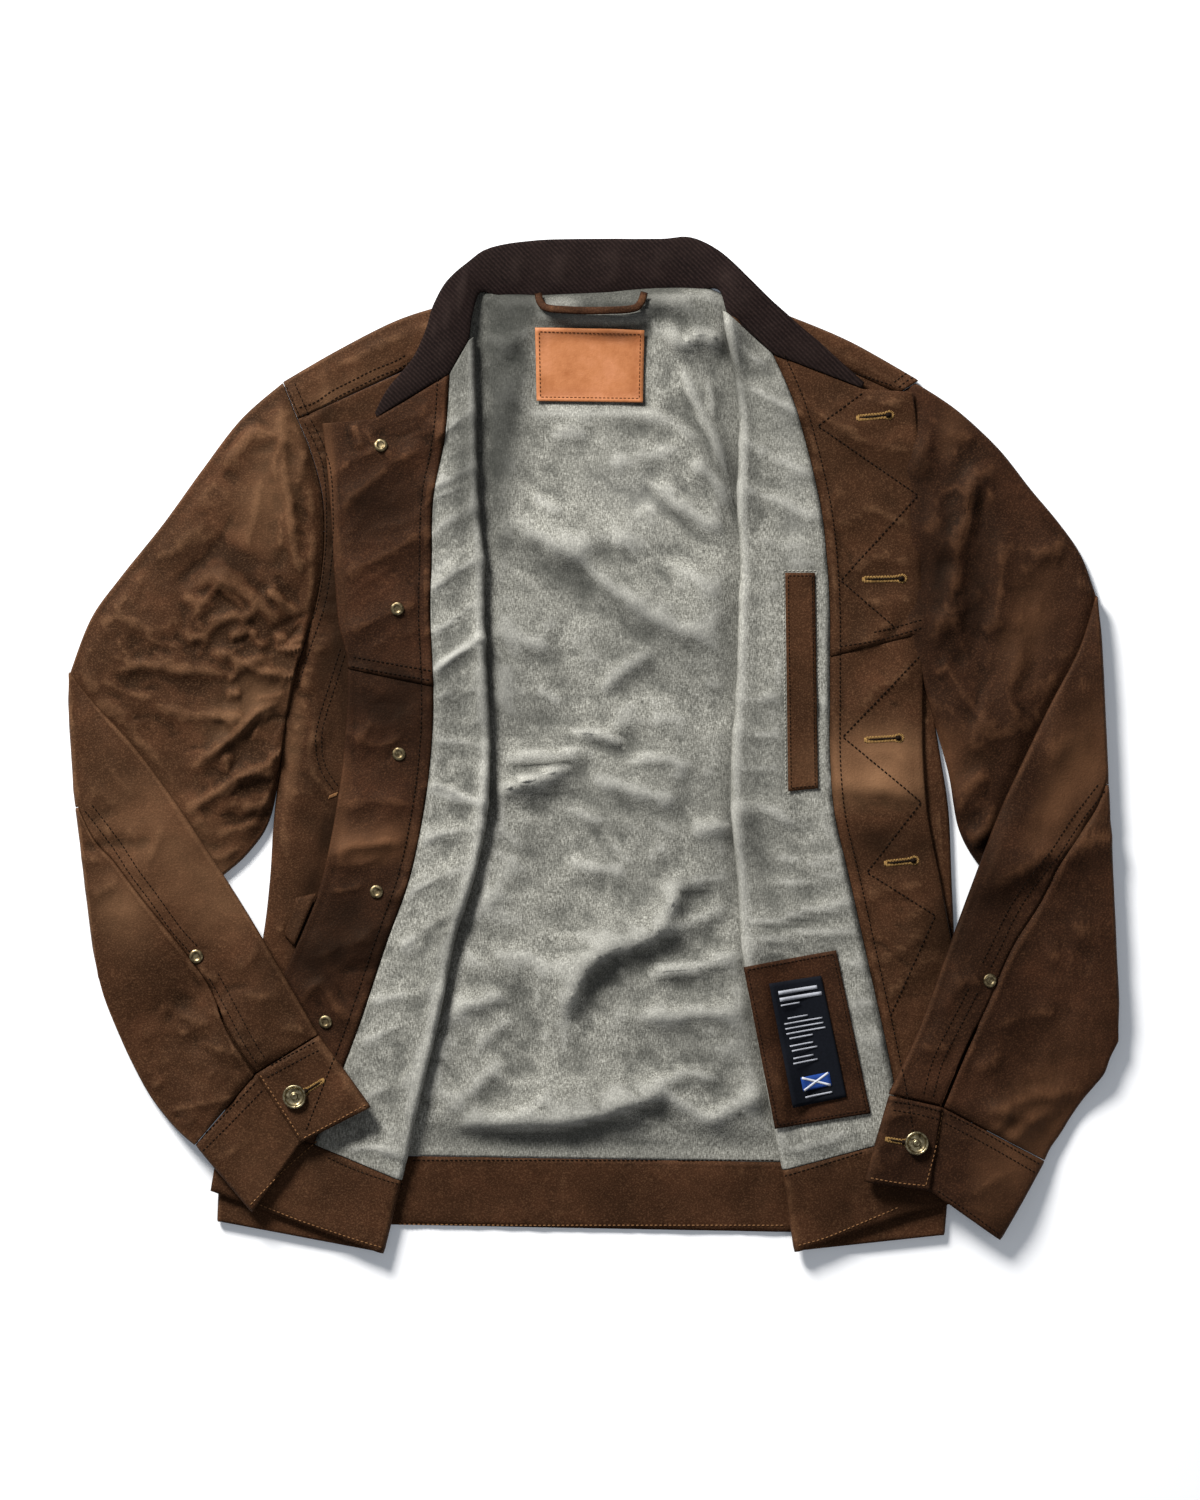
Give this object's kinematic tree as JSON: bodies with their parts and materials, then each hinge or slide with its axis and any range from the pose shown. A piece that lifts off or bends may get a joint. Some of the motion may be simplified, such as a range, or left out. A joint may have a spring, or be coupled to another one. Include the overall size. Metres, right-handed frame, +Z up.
{
  "type": "waxed cotton jacket laid open and flat",
  "caption": "Waxed cotton trucker jacket lying open on its back: lined body, fronts folded out, stand collar, waistband, and sleeves folded in with buttoned cuffs on the hem.",
  "frame": {"origin": "middle of the jacket's footprint, on the surface it lies on", "axes": "+X towards the wearer's left sleeve (the right of the picture), +Y towards the collar, +Z up from the surface"},
  "size_m": [0.7065, 0.68, 0.0233],
  "materials": {
    "waxed_cotton": "waxed, soft sheen on creases",
    "lining_cloth": "matte, flecked grey chambray",
    "collar_cloth": "matte, fine diagonal rib",
    "tan_leather": "satin",
    "label_cloth": "matte, closely woven",
    "aged_brass": "antique, worn"
  },
  "bodies": {
    "root": {"back_lining": "lining_cloth", "back_shell": "waxed_cotton", "collar": "collar_cloth", "cuff_button_left": "aged_brass", "cuff_button_right": "aged_brass", "cuff_left": "waxed_cotton", "cuff_right": "waxed_cotton", "front_left_facing_lower": "waxed_cotton", "front_left_facing_upper": "waxed_cotton", "front_left_lining": "lining_cloth", "front_left_shell": "waxed_cotton", "front_right_facing_lower": "waxed_cotton", "front_right_facing_upper": "waxed_cotton", "front_right_lining": "lining_cloth", "front_right_shell": "waxed_cotton", "hand_pocket_welt_right": "waxed_cotton", "hanger_loop": "waxed_cotton", "inner_pocket_welt": "waxed_cotton", "label_patch": "waxed_cotton", "leather_patch": "tan_leather", "sleeve_left": "waxed_cotton", "sleeve_right": "waxed_cotton", "tack_cap_1": "aged_brass", "tack_cap_2": "aged_brass", "tack_cap_3": "aged_brass", "tack_cap_4": "aged_brass", "tack_cap_5": "aged_brass", "vent_rivet_left": "aged_brass", "vent_rivet_right": "aged_brass", "waistband": "waxed_cotton", "woven_label": "label_cloth", "yoke_left": "waxed_cotton", "yoke_right": "waxed_cotton"}
  },
  "joints": []
}
